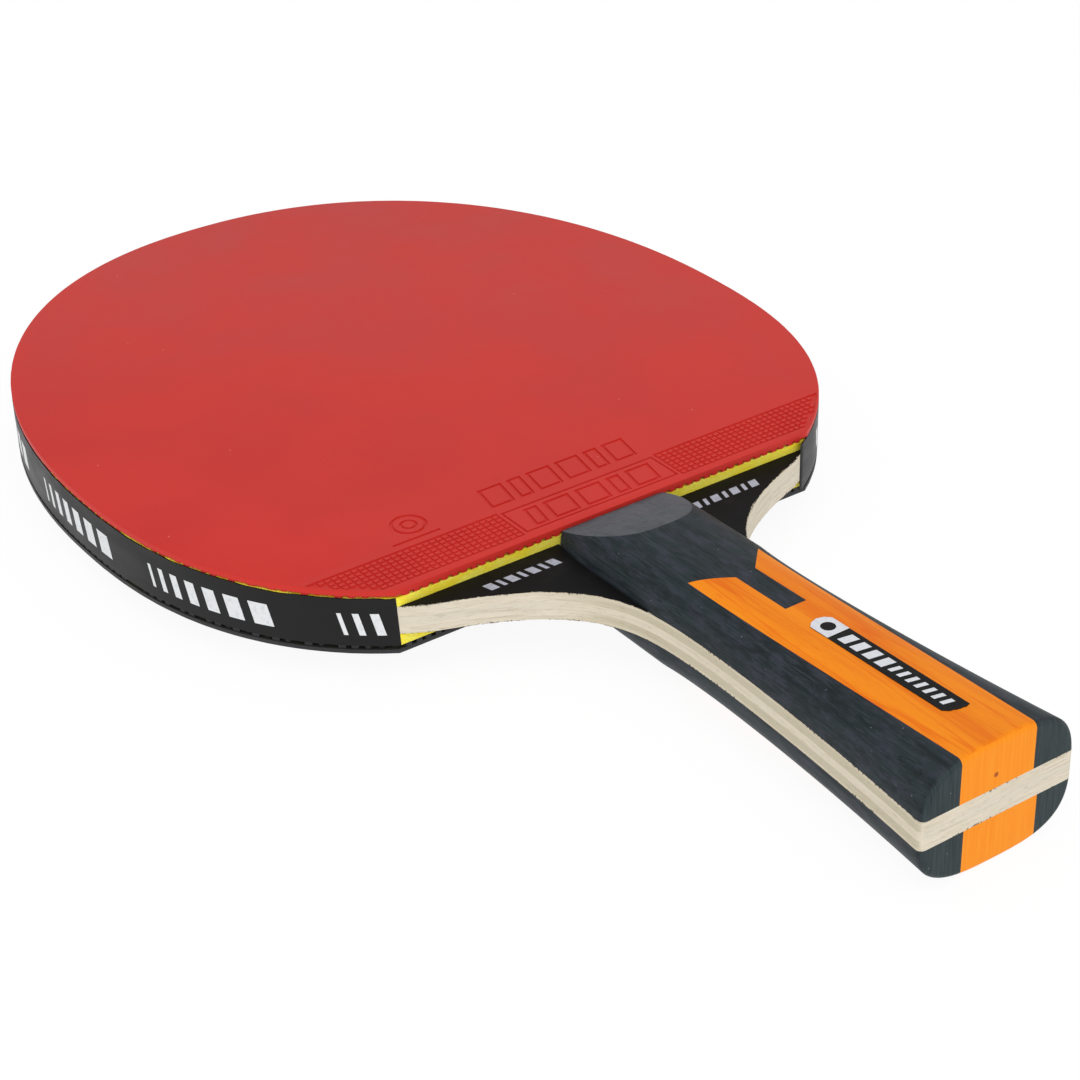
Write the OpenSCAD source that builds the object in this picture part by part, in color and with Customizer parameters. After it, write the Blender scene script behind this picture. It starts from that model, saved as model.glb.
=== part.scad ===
// Table tennis paddle: a five-ply wooden blade with a red rubber on the front, a black rubber on the
// back, black edge tape round the head, and a flared handle built up from dark and orange wood strips.
//
// Frame: X across the paddle, +Y along the handle towards the tip of the head, +Z out of the red
// playing face. X = 0 is the symmetry plane. Z = 0 is the lowest point of the handle's back, and
// Y = 0 is halfway along the whole paddle. Millimetres.
//
// Inside the modules the blade is drawn flat about Z = 0 with Y = 0 at the straight cut edge of the
// rubbers. place() moves that drawing into the frame above.

/* [Head] */
// width of the wooden head, side to side
head_w = 151; // [130:0.5:170]
// distance from the cut edge of the rubbers to the tip of the head
head_l = 157.8; // [140:0.05:175]
// distance from the cut edge of the rubbers to the widest line of the head
widest_y = 66; // [60:0.5:72]
// squareness of the tip half of the outline, where 2 is an ellipse
tip_power = 2.15; // [2:0.05:2.6]
// squareness of the handle half of the outline
base_power = 2.4; // [2.2:0.05:2.8]
// length of the handle half of the outline, if it ran on to a point at x = 0
base_reach = 77.15; // [74:0.05:84]

/* [Shoulders] */
// distance below the cut edge where the head's outline turns into the shoulder curve
shoulder_y = 3; // [2:0.5:6]
// length of the shoulder curve down to where it has fully run into the handle's sides
shoulder_l = 50; // [36:1:56]
// how quickly the shoulder curve closes on the handle
shoulder_power = 4.9; // [2.5:0.1:5.5]

/* [Blade plies] */
// thickness of the middle ply
core_t = 1.7; // [1:0.1:3]
// thickness of each ply next to the middle one
inner_t = 1.4; // [0.8:0.1:2]
// thickness of each outside ply
face_t = 0.55; // [0.3:0.05:1]

/* [Rubbers] */
// thickness of the sponge under the red sheet
sponge_front_t = 1.9; // [1:0.1:2.3]
// thickness of the sponge under the black sheet
sponge_back_t = 2.4; // [1:0.1:2.6]
// thickness of the red top sheet's skin, without its pimples
skin_front_t = 1.1; // [0.6:0.05:1.4]
// thickness of the black top sheet's skin
skin_back_t = 0.85; // [0.6:0.05:1.4]
// height of the pimples between the red skin and its sponge
pimple_front_h = 0.5; // [0.4:0.05:1.4]
// height of the pimples between the black skin and its sponge
pimple_back_h = 0.75; // [0.4:0.05:1.4]
// radius of a pimple
pimple_r = 0.75; // [0.5:0.05:0.9]
// spacing of the pimples along the edge of the sheet
pimple_pitch = 2.4; // [2:0.1:4]
// how far the top sheets stand out beyond the edge of the wood
sheet_lap = 0.25; // [0:0.05:0.6]
// depth of the line engraved across each top sheet near the cut edge
line_depth = 0.15; // [0.05:0.05:0.4]

/* [Edge tape] */
// thickness of the edge tape
tape_t = 0.25; // [0.2:0.05:1]
// how far the tape's upper edge stops short of the front sponge's upper edge
tape_gap = 0.1; // [0.05:0.05:1]
// how much higher the tape's upper edge stands at its right-hand end
tape_rise = 0.5; // [0:0.05:0.5]
// number of steps of the outline, counted back from that end, over which the tape rises
tape_rise_n = 24; // [8:1:40]
// how far the tape's right-hand end runs on past the cut edge of the rubbers
tape_tail = 1.5; // [0:0.1:2.5]

/* [Handle] */
// distance from the cut edge of the rubbers to the end of the handle
handle_l = 101.5; // [90:0.5:115]
// width of the handle at its narrowest
waist_w = 24.6; // [20:0.2:28]
// width of the handle at its end
butt_w = 33.1; // [29:0.1:36]
// distance from the cut edge to where the handle starts to flare
flare_y = 42; // [38:1:55]
// how late the flare opens, where 2 is a parabola
flare_power = 1.7; // [1.4:0.1:2.6]
// thickness of the whole handle beside the rubbers, before its bevel is cut
neck_h = 21; // [18:0.2:24]
// thickness of the whole handle at its end
butt_h = 24; // [21:0.2:27]
// squareness of the handle's section, where 2 is an ellipse
grip_power = 3.1; // [2.6:0.1:4]
// rounding of the edges round the end of the handle
butt_r = 1.1; // [0.6:0.1:3]
// greatest width of the handle's scales where they stand on the shoulders
neck_w = 25.9; // [24.8:0.1:27]
// width of the scales at their end beside the rubbers
neck_end_w = 24.1; // [21:0.1:25]
// length over which the scales draw in towards that end
neck_taper_l = 8; // [4:0.5:12]
// rounding of the scales' corners beside the rubbers
neck_r = 0.5; // [0.2:0.1:1.5]
// gap between the handle and the cut edge of the rubbers
neck_gap = 0.2; // [0.1:0.1:2]
// height of the bevel's lower edge above the middle of the blade
bevel_z = 5.6; // [4.2:0.1:7]
// length of the bevel along the middle of the handle
bevel_l = 16.5; // [10:0.5:25]

/* [Orange strip] */
// width of the orange strip across its two outer points
strip_w = 16.8; // [12:0.2:18]
// distance from the middle to the strip's near-straight left edge at the end of the handle
strip_left = 8.6; // [6:0.1:9]
// distance from the middle to the strip's right edge at the end of the handle
strip_right = 7.3; // [6:0.1:9]
// distance from the cut edge to halfway between the orange strip's two outer points
strip_tip_y = 32.6; // [28:0.2:45]
// how much nearer the rubbers the right-hand point is than the left-hand one
strip_tip_lead = 1.4; // [0:0.1:2]
// distance from the cut edge to the root of the dark tongue
tongue_root_y = 38.2; // [36:0.2:50]
// distance from the cut edge to the end of the dark tongue
tongue_end_y = 51.5; // [48:0.5:60]
// width of the dark tongue
tongue_w = 4.6; // [3:0.2:8]
// how far the tongue stands to the right of the handle's middle line
tongue_x = 0.4; // [0:0.1:1]

/* [Films] */
// thickness of the black films on the shoulders and of the badge
film_t = 0.12; // [0.05:0.01:0.3]
// length of the shoulder films, from the rubbers' cut edge down to their points
film_l = 28; // [24:2:30]
// width of the badge
badge_w = 4.8; // [3:0.2:8]
// distance from the cut edge to the badge's pointed end
badge_y = 57.1; // [56:0.5:62]
// length of the badge
badge_l = 35; // [20:0.5:36]
// how much shorter the badge is along its left edge
badge_skew = 1.3; // [0:0.1:2]

/* [Hidden] */

blade_t = core_t + 2 * inner_t + 2 * face_t;
face_z = blade_t / 2;
front_sheet_z = face_z + sponge_front_t;
back_sheet_z = face_z + sponge_back_t;
waist = waist_w / 2;
strip_x = strip_w / 2;
mid_y = (head_l + tape_t - handle_l) / 2;
mid_z = crown(-handle_l + butt_r);
bed_inset = 2 * pimple_r + 0.7;

wood = [0.86, 0.82, 0.73];
dark_wood = [0.17, 0.20, 0.23];
orange_wood = [0.95, 0.50, 0.10];
black = [0.05, 0.05, 0.06];

module place() translate([0, -mid_y, mid_z]) children();

// --- outlines ---------------------------------------------------------------------------------

// Right half of the head's outline, grown by g, from the tip down to the level y = floor_y. The
// points sit at the same steps whatever the floor, so that touching pieces share their facets.
function head_side(g, floor_y, step = 3) =
    let (a = head_w / 2 + g, up = head_l - widest_y + g, down = base_reach + g,
         last = asin(pow((widest_y - floor_y) / down, base_power / 2)))
    concat(
        [for (t = [90:-step:step])
            [a * pow(cos(t), 2 / tip_power), widest_y + up * pow(sin(t), 2 / tip_power)]],
        [for (t = [0:step:last - step / 3]) base_point(a, down, t)],
        [base_point(a, down, last)]);
function base_point(a, down, t) =
    [a * pow(cos(t), 2 / base_power), widest_y - down * pow(sin(t), 2 / base_power)];

function mirrored(side) = concat(side, [for (i = [len(side) - 1:-1:0]) [-side[i][0], side[i][1]]]);

// Half-width of the head's outline at the level y = -shoulder_y, where the shoulder curve starts.
shoulder_x = head_w / 2
    * pow(1 - pow((widest_y + shoulder_y) / base_reach, base_power), 1 / base_power);

// Half-width of the wood below the shoulder line, at the distance d below the rubbers' cut edge.
function wood_half(d) = waist
    + (butt_w - waist_w) / 2 * pow(max(0, d - flare_y) / (handle_l - flare_y), flare_power)
    + (shoulder_x - waist) * pow(max(0, 1 - (d - shoulder_y) / shoulder_l), shoulder_power);

// Right half of the blade's outline below the head, down the shoulder and the handle to its end.
function stem_side() = concat(
    [for (i = [1:20]) let (d = shoulder_y + shoulder_l * i / 20) [wood_half(d), -d]],
    [for (i = [1:12]) let (d = shoulder_y + shoulder_l
        + (handle_l - butt_r - shoulder_y - shoulder_l) * i / 12) [wood_half(d), -d]],
    [for (i = [1:6]) let (t = 15 * i, w = wood_half(handle_l - butt_r))
        [w - butt_r * (1 - cos(t)), -handle_l + butt_r * (1 - sin(t))]]);

module blade_outline() polygon(mirrored(concat(head_side(0, -shoulder_y), stem_side())));

module ply(bottom, thickness)
    color(wood) place() translate([0, 0, bottom]) linear_extrude(thickness) blade_outline();

// --- rubbers ----------------------------------------------------------------------------------

module sponge(thickness) translate([0, 0, face_z])
    linear_extrude(thickness) polygon(mirrored(head_side(0, 0)));

// Points evenly spaced along an open line of points.
function run_length(line) = [for (i = 0, s = 0; i < len(line);
    s = i + 1 < len(line) ? s + norm(line[i + 1] - line[i]) : s, i = i + 1) s];
function spaced(line, pitch) =
    let (s = run_length(line), total = s[len(s) - 1], count = round(total / pitch))
    [for (k = [0:count]) let (at = total * k / count,
        i = max([for (j = [0:len(s) - 2]) if (s[j] <= at + 0.0001) j]),
        f = (at - s[i]) / (s[i + 1] - s[i])) line[i] + (line[i + 1] - line[i]) * f];

// One pimpled sheet on the sponge at that level: a thin skin, a row of round pimples along its
// edge, and one solid bed that stands for the pimples further in.
module topsheet(level, pimple_h, skin_t) translate([0, 0, level]) difference() {
    union() {
        translate([0, 0, pimple_h]) linear_extrude(skin_t) polygon(mirrored(head_side(sheet_lap, 0)));
        linear_extrude(pimple_h) polygon(mirrored(head_side(-bed_inset, bed_inset)));
        edge = spaced(mirrored(head_side(-pimple_r, pimple_r)), pimple_pitch);
        for (p = edge) translate([p[0], p[1], 0]) cylinder(h = pimple_h, r = pimple_r, $fn = 16);
    }
    for (y = [1.6, 10.8]) translate([-head_w, y, pimple_h + skin_t - line_depth])
        cube([2 * head_w, 0.3, line_depth + 1]);
}

// --- edge tape --------------------------------------------------------------------------------

// The tape hugs the wood from the left end of the cut edge, round the tip, to its tail on the right,
// where its upper edge climbs up to the red sheet.
function round_the_tip(g) = let (left = head_side(g, 0))
    concat([for (i = [len(left) - 1:-1:1]) [-left[i][0], left[i][1]]], head_side(g, -tape_tail));

module tape() {
    outer = round_the_tip(tape_t);
    inner = round_the_tip(0);
    last = len(outer) - 1;
    loft([for (i = [0:last])
        let (top = front_sheet_z - tape_gap + tape_rise * max(0, 1 - (last - i) / tape_rise_n))
        [[inner[i][0], inner[i][1], -back_sheet_z], [inner[i][0], inner[i][1], top],
         [outer[i][0], outer[i][1], top], [outer[i][0], outer[i][1], -back_sheet_z]]]);
}

// --- handle -----------------------------------------------------------------------------------

// Half-thickness of the handle along its crown, at height y.
function crown(y) = neck_h / 2 + (butt_h - neck_h) / 2 * pow(-y / handle_l, 1.5);

// Half-width of the scales: they stand clear of the shoulders' sweep, drawing in a little towards
// the rubbers, and further down they follow the wood.
function neck_half(d) = neck_w / 2
    - (neck_w - neck_end_w) / 2 * pow(max(0, 1 - d / neck_taper_l), 1.5);
function scale_half(d) = d < flare_y ? min(wood_half(max(d, shoulder_y)), neck_half(d)) : wood_half(d);

// Distances from the middle to the left and right edges of the orange strip, which run straight.
function strip_edge(d, at_end) = strip_x
    + (at_end - strip_x) * (d - strip_tip_y) / (handle_l - strip_tip_y);
function left_edge(d) = strip_edge(d, strip_left);
function right_edge(d) = strip_edge(d, strip_right);

// Cross-sections along the handle: [y, half-width, half-thickness], rounded in at both ends.
function stations(lift = 0) = concat(
    [for (t = [0:30:90]) let (d = neck_gap + neck_r * (1 - cos(t)))
        [-d, scale_half(d) - neck_r * (1 - sin(t)), crown(-d) + lift]],
    [for (d = [2, 4, 6, neck_taper_l, 12, 17, 22, 26, 29, 30.5, 33, 36, 40])
        [-d, scale_half(d), crown(-d) + lift]],
    [for (i = [1:9]) let (d = 40 + (handle_l - butt_r - 40) * i / 9)
        [-d, scale_half(d), crown(-d) + lift]],
    [for (i = [1:5]) let (t = 18 * i, cut = butt_r * (1 - cos(t)), d = handle_l - butt_r)
        [-d - butt_r * sin(t), scale_half(d) - cut, crown(-d) - cut + lift]]);

// Points over the top of one cross-section, from x = from to x = to.
function arch(s, from, to, n) = [for (i = [0:n])
    let (x = from + (to - from) * i / n) [x, s[0], s[2] * pow(1 - pow(abs(x) / s[1], grip_power),
        1 / grip_power)]];
// Points over one side of a cross-section, from the glue line up to x = from.
function flank(s, from, n) =
    let (t0 = asin(pow(face_z / s[2], grip_power / 2)), t1 = acos(pow(from / s[1], grip_power / 2)))
    [for (i = [0:n]) let (t = t0 + (t1 - t0) * i / n)
        [s[1] * pow(cos(t), 2 / grip_power), s[0], s[2] * pow(sin(t), 2 / grip_power)]];

// Joins a list of rings with the same number of points into one solid.
module loft(rings) {
    m = len(rings[0]);
    k = len(rings);
    polyhedron(
        points = [for (r = rings) for (p = r) p],
        faces = concat(
            [[for (i = [0:m - 1]) i]],
            [for (j = [0:k - 2]) for (i = [0:m - 1]) let (a = j * m + i, b = j * m + (i + 1) % m)
                each [[a, a + m, b + m], [a, b + m, b]]],
            [[for (i = [m - 1:-1:0]) (k - 1) * m + i]]));
}

// Everything above the sloping bevel beside the rubbers.
module bevel_cut() {
    slope = (crown(-bevel_l) - bevel_z) / (bevel_l - neck_gap);
    translate([-butt_w, 0, 0]) rotate([90, 0, 90]) linear_extrude(2 * butt_w)
        polygon([[1, bevel_z - slope * (1 + neck_gap)],
                 [-40, bevel_z + slope * (40 - neck_gap)], [-40, 40], [1, 40]]);
}

module centre_body(lift = 0) loft([for (s = stations(lift))
    let (left = left_edge(-s[0]), right = right_edge(-s[0]))
    concat([[-left, s[0], face_z], [right, s[0], face_z]], arch(s, right, -left, 18))]);

module right_strip() difference() {
    loft([for (s = stations()) let (x = right_edge(-s[0]))
        concat([[x, s[0], face_z]], flank(s, x, 12))]);
    bevel_cut();
}

module left_strip() difference() {
    mirror([1, 0, 0]) loft([for (s = stations()) let (x = left_edge(-s[0]))
        concat([[x, s[0], face_z]], flank(s, x, 12))]);
    bevel_cut();
}

// Plan of the dark neck block: a chevron towards the handle's end with a square tongue. The chevron
// leans, so that its right-hand side lies a little nearer the rubbers.
function leaned(x, depth) = [x, x * strip_tip_lead / strip_w - depth];
module neck_plan() {
    left = tongue_x - tongue_w / 2;
    right = tongue_x + tongue_w / 2;
    polygon([[-strip_x - 1, 1], [strip_x + 1, 1],
        leaned(strip_x + 1, strip_tip_y), leaned(strip_x, strip_tip_y),
        leaned(right, tongue_root_y), [right, -tongue_end_y],
        [left, -tongue_end_y], leaned(left, tongue_root_y),
        leaned(-strip_x, strip_tip_y), leaned(-strip_x - 1, strip_tip_y)]);
}

module neck_block() difference() {
    intersection() {
        centre_body();
        linear_extrude(butt_h) neck_plan();
    }
    bevel_cut();
}

module centre_strip() difference() {
    centre_body();
    linear_extrude(butt_h) neck_plan();
}

// --- films ------------------------------------------------------------------------------------

// Black film on the right-hand shoulder, between the rubber, the scale and the edge of the wood.
module shoulder_film() translate([0, 0, face_z]) linear_extrude(film_t) intersection() {
    blade_outline();
    polygon(concat([[head_w / 2, 0]],
        [for (d = [0:2:film_l]) [neck_half(d) + 0.05, -d]], [[head_w / 2, -film_l]]));
}

// Name badge left blank: a strip with a blunt pointed end, lying on the crown of the front scale.
module badge_plan() translate([0, -badge_y]) polygon([
    [0, 0], [badge_w * 0.3, -0.45], [badge_w / 2, -1.4], [badge_w / 2, -badge_l],
    [-badge_w / 2, badge_skew - badge_l], [-badge_w / 2, -1.4], [-badge_w * 0.3, -0.45]]);

module badge_film() difference() {
    intersection() {
        centre_body(film_t);
        translate([0, 0, face_z]) linear_extrude(butt_h) badge_plan();
    }
    centre_body();
}

// --- nodes ------------------------------------------------------------------------------------

// The back's flat layers mirror the front's. Its handle scale is the front's, turned over.
module to_back() mirror([0, 0, 1]) children();
module to_left() mirror([1, 0, 0]) children();
module turned_over() rotate([0, 180, 0]) children();

module core_ply() ply(-core_t / 2, core_t);
module inner_ply_front() ply(core_t / 2, inner_t);
module inner_ply_back() ply(-core_t / 2 - inner_t, inner_t);
module face_ply_front() ply(face_z - face_t, face_t);
module face_ply_back() ply(-face_z, face_t);

module sponge_front() color([0.88, 0.82, 0.16]) place() sponge(sponge_front_t);
module sponge_back() color([0.88, 0.82, 0.16]) place() to_back() sponge(sponge_back_t);
module topsheet_front() color([0.80, 0.15, 0.13]) place()
    topsheet(front_sheet_z, pimple_front_h, skin_front_t);
module topsheet_back() color(black) place() to_back()
    topsheet(back_sheet_z, pimple_back_h, skin_back_t);
module edge_tape() color([0.09, 0.09, 0.10]) place() tape();

module shoulder_film_front_left() color(black) place() to_left() shoulder_film();
module shoulder_film_front_right() color(black) place() shoulder_film();
module shoulder_film_back_left() color(black) place() to_back() to_left() shoulder_film();
module shoulder_film_back_right() color(black) place() to_back() shoulder_film();

module neck_block_front() color(dark_wood) place() neck_block();
module centre_strip_front() color(orange_wood) place() centre_strip();
module side_strip_front_left() color(dark_wood) place() left_strip();
module side_strip_front_right() color(dark_wood) place() right_strip();
module neck_block_back() color(dark_wood) place() turned_over() neck_block();
module centre_strip_back() color(orange_wood) place() turned_over() centre_strip();
module side_strip_back_left() color(dark_wood) place() turned_over() right_strip();
module side_strip_back_right() color(dark_wood) place() turned_over() left_strip();
module badge() color(black) place() badge_film();

core_ply();
inner_ply_front();
inner_ply_back();
face_ply_front();
face_ply_back();
sponge_front();
sponge_back();
topsheet_front();
topsheet_back();
edge_tape();
shoulder_film_front_left();
shoulder_film_front_right();
shoulder_film_back_left();
shoulder_film_back_right();
neck_block_front();
centre_strip_front();
side_strip_front_left();
side_strip_front_right();
neck_block_back();
centre_strip_back();
side_strip_back_left();
side_strip_back_right();
badge();
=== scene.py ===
"""Looks of a table tennis paddle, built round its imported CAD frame.

Lengths are millimetres in the paddle's own drawing: x across, y from the rubbers' cut edge
towards the tip, z from the middle of the plywood towards the red face. A depth is measured from
the same edge down the handle. at() turns x, y and z into the frame's metres.
"""
import math

import bmesh
import bpy
from mathutils import Matrix, Vector, noise
from mathutils.geometry import delaunay_2d_cdt


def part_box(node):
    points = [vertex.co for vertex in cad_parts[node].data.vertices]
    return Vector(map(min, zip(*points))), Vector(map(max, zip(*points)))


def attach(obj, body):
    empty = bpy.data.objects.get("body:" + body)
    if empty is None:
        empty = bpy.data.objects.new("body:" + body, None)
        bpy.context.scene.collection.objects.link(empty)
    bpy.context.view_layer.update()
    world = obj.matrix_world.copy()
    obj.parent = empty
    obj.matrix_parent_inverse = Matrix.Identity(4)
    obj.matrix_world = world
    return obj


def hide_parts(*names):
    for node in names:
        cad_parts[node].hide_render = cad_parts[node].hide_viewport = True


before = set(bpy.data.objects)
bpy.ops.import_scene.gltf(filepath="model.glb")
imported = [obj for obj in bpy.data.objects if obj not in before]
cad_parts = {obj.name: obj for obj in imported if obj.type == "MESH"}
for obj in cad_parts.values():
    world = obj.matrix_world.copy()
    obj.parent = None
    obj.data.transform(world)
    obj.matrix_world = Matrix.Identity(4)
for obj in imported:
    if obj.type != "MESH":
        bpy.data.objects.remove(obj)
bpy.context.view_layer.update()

MM = 0.001

# --- sizes read from the frame -----------------------------

core_low, core_high = (Vector(c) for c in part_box("core_ply"))
sponge_low, sponge_high = (Vector(c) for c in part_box("sponge_front"))
sheet_high = Vector(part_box("topsheet_front")[1])
sponge_back_low = Vector(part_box("sponge_back")[0])
sheet_back_low = Vector(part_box("topsheet_back")[0])
tape_low, tape_high = (Vector(c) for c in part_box("edge_tape"))
inner_high = Vector(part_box("inner_ply_front")[1])
film_high = Vector(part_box("shoulder_film_front_left")[1])
badge_low, badge_high = (Vector(c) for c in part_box("badge"))
neck_low = Vector(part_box("neck_block_front")[0])
strip_low = Vector(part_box("centre_strip_front")[0])

CUT_Y = sponge_low.y
MID_Z = (core_low.z + core_high.z) / 2
HEAD_HALF = core_high.x / MM
HEAD_LENGTH = (sponge_high.y - CUT_Y) / MM
HANDLE_LENGTH = (CUT_Y - core_low.y) / MM
CORE_Z = (core_high.z - MID_Z) / MM
INNER_Z = (inner_high.z - MID_Z) / MM
FACE_Z = (sponge_low.z - MID_Z) / MM
FRONT_SHEET_Z = (sponge_high.z - MID_Z) / MM
FRONT_TOP_Z = (sheet_high.z - MID_Z) / MM
BACK_SHEET_Z = (MID_Z - sponge_back_low.z) / MM
BACK_TOP_Z = (MID_Z - sheet_back_low.z) / MM
FILM_T = (film_high.z - MID_Z) / MM - FACE_Z
SHEET_LAP = sheet_high.x / MM - HEAD_HALF
TAPE_OUT = tape_high.x / MM - HEAD_HALF
TAPE_TAIL_TOP = (tape_high.z - MID_Z) / MM
TAPE_FOOT = (tape_low.z - MID_Z) / MM
STRIP_X = -neck_low.x / MM
STRIP_LEFT = -strip_low.x / MM
BADGE_X = badge_high.x / MM
BADGE_Y = (badge_high.y - CUT_Y) / MM
BADGE_END = (badge_low.y - CUT_Y) / MM

# --- sizes that part.scad has too --------------------------

# The head's outline: two superellipses that meet where it is widest.
WIDEST_Y = 66
TIP_POWER = 2.15
BASE_POWER = 2.4
BASE_REACH = 77.15
# The sweep from the head into the handle.
SHOULDER_Y = 3
SHOULDER_L = 50
SHOULDER_POWER = 4.9
# The rubbers' skins, and the tape's tail on the right with the length over which it rises.
FRONT_SKIN_T = 1.1
BACK_SKIN_T = 0.85
TAPE_RISE_L = 72
TAPE_TAIL = 1.5
# The handle.
WAIST = 12.3
BUTT_HALF = 16.55
FLARE_Y = 42
FLARE_POWER = 1.7
NECK_HALF_H = 10.5
BUTT_HALF_H = 12
CROWN_POWER = 1.5
GRIP_POWER = 3.1
BUTT_R = 1.1
NECK_HALF = 12.95
NECK_END_HALF = 12.05
NECK_TAPER_L = 8
NECK_TAPER_POWER = 1.5
NECK_R = 0.5
NECK_GAP = 0.2
# The bevel beside the rubbers, the orange strip and the neck block's tongue.
BEVEL_Z = 5.6
BEVEL_L = 16.5
STRIP_RIGHT = 7.3
STRIP_TIP_Y = 32.6
STRIP_TIP_LEAD = 1.4
TONGUE_ROOT_Y = 38.2
TONGUE_END_Y = 51.5
TONGUE_HALF = 2.3
TONGUE_X = 0.4
# How far the shoulder films reach down the handle.
FILM_L = 28


def at(x, y, z):
    """A point of the drawing, in the frame's metres."""
    return Vector((x * MM, CUT_Y + y * MM, MID_Z + z * MM))


# --- outlines ----------------------------------------------

PLY_POINTS = 620
RUBBER_POINTS = 420
CORNER_STEPS = 12


def superellipse(half, reach, power, angle):
    """A point of the quarter from (half, 0) at angle 0 to (0, reach) at a right angle."""
    return half * math.cos(angle) ** (2 / power), reach * math.sin(angle) ** (2 / power)


def head_side(grow, floor, steps=240):
    """Right half of the head's outline, grown, from the tip down to the level y = floor."""
    half = HEAD_HALF + grow
    up = HEAD_LENGTH - WIDEST_Y + grow
    down = BASE_REACH + grow
    last = math.asin(((WIDEST_Y - floor) / down) ** (BASE_POWER / 2))
    points = []
    for i in range(steps):
        x, y = superellipse(half, up, TIP_POWER, math.pi / 2 * (1 - i / steps))
        points.append((x if i else 0.0, WIDEST_Y + y))
    for i in range(steps + 1):
        x, y = superellipse(half, down, BASE_POWER, last * i / steps)
        points.append((x, WIDEST_Y - y))
    return points


def edge_x(y, margin=0.0):
    """Half-width of the head at the level y, below its widest, less a margin."""
    return HEAD_HALF * (1 - ((WIDEST_Y - y) / BASE_REACH) ** BASE_POWER) ** (1 / BASE_POWER) - margin


def wood_half(depth):
    """Half-width of the plywood at a depth beyond the shoulder line."""
    shoulder = edge_x(-SHOULDER_Y)
    flared = max(0.0, depth - FLARE_Y) / (HANDLE_LENGTH - FLARE_Y)
    rest = max(0.0, 1 - (depth - SHOULDER_Y) / SHOULDER_L)
    return WAIST + (BUTT_HALF - WAIST) * flared ** FLARE_POWER + (shoulder - WAIST) * rest ** SHOULDER_POWER


def stem_side(steps=160):
    """Right half of the plywood's outline below the head, with its rounded corner at the end."""
    end = HANDLE_LENGTH - BUTT_R
    points = []
    for i in range(1, steps + 1):
        depth = SHOULDER_Y + (end - SHOULDER_Y) * i / steps
        points.append((wood_half(depth), -depth))
    for i in range(1, CORNER_STEPS + 1):
        angle = math.pi / 2 * i / CORNER_STEPS
        points.append((wood_half(end) - BUTT_R * (1 - math.cos(angle)), -end - BUTT_R * math.sin(angle)))
    return points


def run_length(line):
    """The length along an open line up to each of its points."""
    total = [0.0]
    for a, b in zip(line, line[1:]):
        total.append(total[-1] + math.dist(a, b))
    return total


def spaced(line, count):
    """count + 1 points evenly spaced along an open line."""
    total = run_length(line)
    out, i = [], 0
    for k in range(count + 1):
        want = total[-1] * k / count
        while i < len(line) - 2 and total[i + 1] < want:
            i += 1
        part = (want - total[i]) / (total[i + 1] - total[i])
        out.append(tuple(a + (b - a) * part for a, b in zip(line[i], line[i + 1])))
    return out


def both_sides(side):
    """A closed loop, counter-clockwise, from the right half of an outline that starts at its top."""
    return side[::-1] + [(-x, y) for x, y in side[1:]]


def head_loop(grow, count=300, cut_points=90):
    """The head's outline with its straight cut edge, which runs along y = 0 and is part of the loop."""
    side = spaced(head_side(grow, 0), count)
    x = side[-1][0]
    cut = [(-x + 2 * x * i / cut_points, 0.0) for i in range(1, cut_points)]
    return both_sides(side) + cut


def inward(loop):
    """The inward unit normal at each point of a counter-clockwise loop."""
    out = []
    for i in range(len(loop)):
        (ax, ay), (bx, by) = loop[i - 1], loop[(i + 1) % len(loop)]
        length = math.hypot(bx - ax, by - ay) or 1.0
        out.append((-(by - ay) / length, (bx - ax) / length))
    return out


def moved_in(loop, distance):
    """A loop with every point moved inwards by a distance."""
    return [(x + nx * distance, y + ny * distance) for (x, y), (nx, ny) in zip(loop, inward(loop))]


def ragged(loop, amount, size, seed):
    """A loop cut a little unevenly: each point moves inwards by up to amount, in waves of that size."""
    out = []
    for (x, y), (nx, ny) in zip(loop, inward(loop)):
        wave = noise.noise(Vector((x / size, y / size, seed))) * 0.5 + 0.5
        step = amount * min(1.0, max(0.0, wave))
        out.append((x + nx * step, y + ny * step))
    return out


def numbered(points, polygon):
    """Adds a polygon's points to a list and returns their places in it."""
    start = len(points)
    points += [Vector(p) for p in polygon]
    return list(range(start, len(points)))


# --- mesh building -----------------------------------------

def mesh_from(name, bm):
    """A mesh with the contents of a bmesh, which it uses up."""
    mesh = bpy.data.meshes.new(name)
    bm.to_mesh(mesh)
    bm.free()
    return mesh


def add_object(name, data):
    """A new object in the scene."""
    made = bpy.data.objects.new(name, data)
    bpy.context.scene.collection.objects.link(made)
    return made


def make_piece(node, bm, slot, materials, crease=35, back=False):
    """Turns a bmesh in the drawing's millimetres into the finished piece for one CAD node.

    A back piece is built like the front one and mirrored in the middle of the plywood here.
    """
    name = node + "_piece"
    if back:
        bmesh.ops.scale(bm, vec=(1, 1, -1), verts=bm.verts)
    bmesh.ops.recalc_face_normals(bm, faces=bm.faces)
    for v in bm.verts:
        v.co = at(*v.co)
    mesh = mesh_from(name, bm)
    mesh.shade_smooth()
    mesh.set_sharp_from_angle(angle=math.radians(crease))
    for material in materials:
        mesh.materials.append(material)
    piece = add_object(name, mesh)
    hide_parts(node)
    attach(piece, "root")


def add_wall(bm, ring, following):
    """Joins two closed rings of vertices that have the same number of points."""
    for i in range(len(ring)):
        j = (i + 1) % len(ring)
        bm.faces.new((ring[i], following[i], following[j], ring[j]))


def stack(bm, rings):
    """A closed solid through rings of (loop, z) that all have the same number of points."""
    levels = [[bm.verts.new((x, y, z)) for x, y in loop] for loop, z in rings]
    bm.faces.new(levels[0][::-1])
    for low, high in zip(levels, levels[1:]):
        add_wall(bm, high, low)
    bm.faces.new(levels[-1])


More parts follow.
